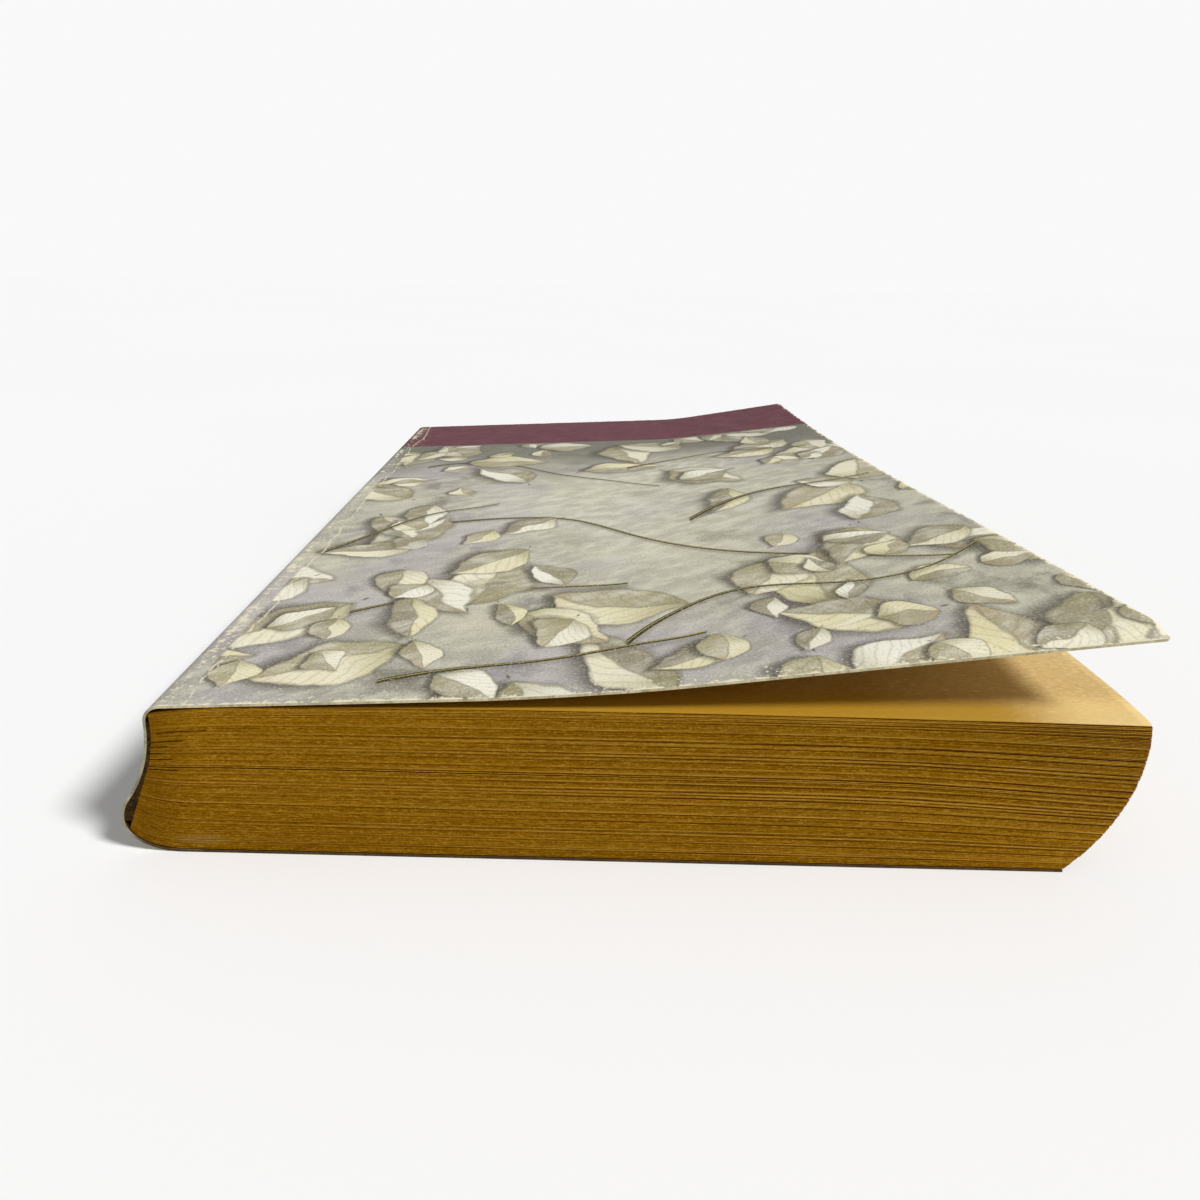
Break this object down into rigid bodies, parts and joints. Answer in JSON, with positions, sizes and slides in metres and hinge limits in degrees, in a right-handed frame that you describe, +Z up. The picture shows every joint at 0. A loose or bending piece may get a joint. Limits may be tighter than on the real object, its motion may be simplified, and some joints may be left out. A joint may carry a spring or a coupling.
{
  "type": "paperback book",
  "caption": "Worn, cocked paperback lying on its back cover: fanned page block, glued spine with a rolled foot, warped front cover and back cover that open at their folds.",
  "frame": {"origin": "middle of the book's width and height, on the plane that the back cover rests on", "axes": "+X from the spine to the fore-edge, +Y from the tail to the head, +Z up through the front cover"},
  "size_m": [0.1117, 0.168, 0.0297],
  "materials": {
    "page_paper": "aged, browned wood-pulp paper, matt",
    "binding_glue": "old brown hot-melt adhesive, dull",
    "cover_card": "printed coated card, satin, worn at the edges"
  },
  "bodies": {
    "book": {"page_block": "page_paper", "spine_glue": "binding_glue", "spine_panel": "cover_card"},
    "front": {"front_cover": "cover_card"},
    "back": {"back_cover": "cover_card"}
  },
  "joints": [
    {"name": "front_cover_fold", "type": "hinge", "parent": "book", "child": "front", "pos_m": [-0.0515, 0, 0.0187], "axis": [0, -1, 0], "range_deg": [0, 170]},
    {"name": "back_cover_fold", "type": "hinge", "parent": "book", "child": "back", "pos_m": [-0.05785, 0, 0.004], "axis": [0, 1, 0], "range_deg": [0, 180]}
  ]
}
